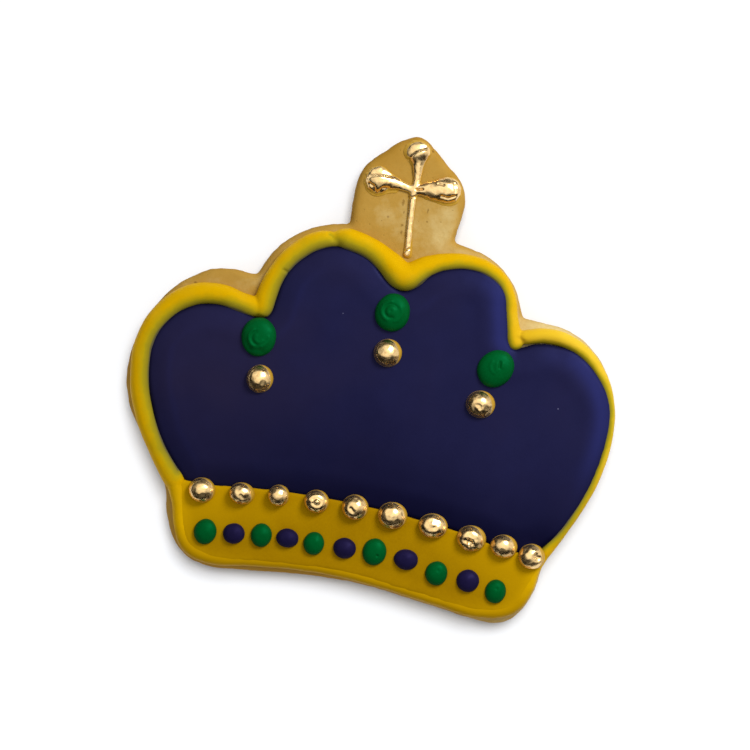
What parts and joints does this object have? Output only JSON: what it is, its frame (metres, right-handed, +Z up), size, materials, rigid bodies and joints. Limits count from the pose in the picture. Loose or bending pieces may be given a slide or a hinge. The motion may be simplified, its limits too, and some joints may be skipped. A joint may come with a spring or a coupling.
{
  "type": "decorated butter cookie",
  "caption": "Crown-shaped butter cookie with a violet iced field, a piped yellow border and band, green and violet drops, gold pearls and a small gold cross.",
  "frame": {"origin": "middle of the outline's box, on the flat underside", "axes": "+Z up out of the iced face, +Y from the crown's band to its cross, +X to the crown's right as seen from above"},
  "size_m": [0.09, 0.0856, 0.0106],
  "materials": {
    "baked_dough": "pale golden baked butter dough, matt, fine pores, slightly browner at the edges",
    "violet_icing": "smooth set icing, deep blue violet, soft satin sheen",
    "yellow_icing": "smooth set icing, strong golden yellow, soft satin sheen",
    "green_icing": "smooth set icing, emerald green, soft satin sheen",
    "gold_paint": "edible gold paint over yellow icing, shiny and finely crinkled"
  },
  "bodies": {
    "root": {"band_drop_01": "green_icing", "band_drop_02": "violet_icing", "band_drop_03": "green_icing", "band_drop_04": "violet_icing", "band_drop_05": "green_icing", "band_drop_06": "violet_icing", "band_drop_07": "green_icing", "band_drop_08": "violet_icing", "band_drop_09": "green_icing", "band_drop_10": "violet_icing", "band_drop_11": "green_icing", "band_icing": "yellow_icing", "cross": "gold_paint", "dough": "baked_dough", "lobe_drop_left": "green_icing", "lobe_drop_middle": "green_icing", "lobe_drop_right": "green_icing", "lobe_pearl_left": "gold_paint", "lobe_pearl_middle": "gold_paint", "lobe_pearl_right": "gold_paint", "row_pearl_01": "gold_paint", "row_pearl_02": "gold_paint", "row_pearl_03": "gold_paint", "row_pearl_04": "gold_paint", "row_pearl_05": "gold_paint", "row_pearl_06": "gold_paint", "row_pearl_07": "gold_paint", "row_pearl_08": "gold_paint", "row_pearl_09": "gold_paint", "row_pearl_10": "gold_paint", "violet_icing": "violet_icing", "yellow_border": "yellow_icing"}
  },
  "joints": []
}
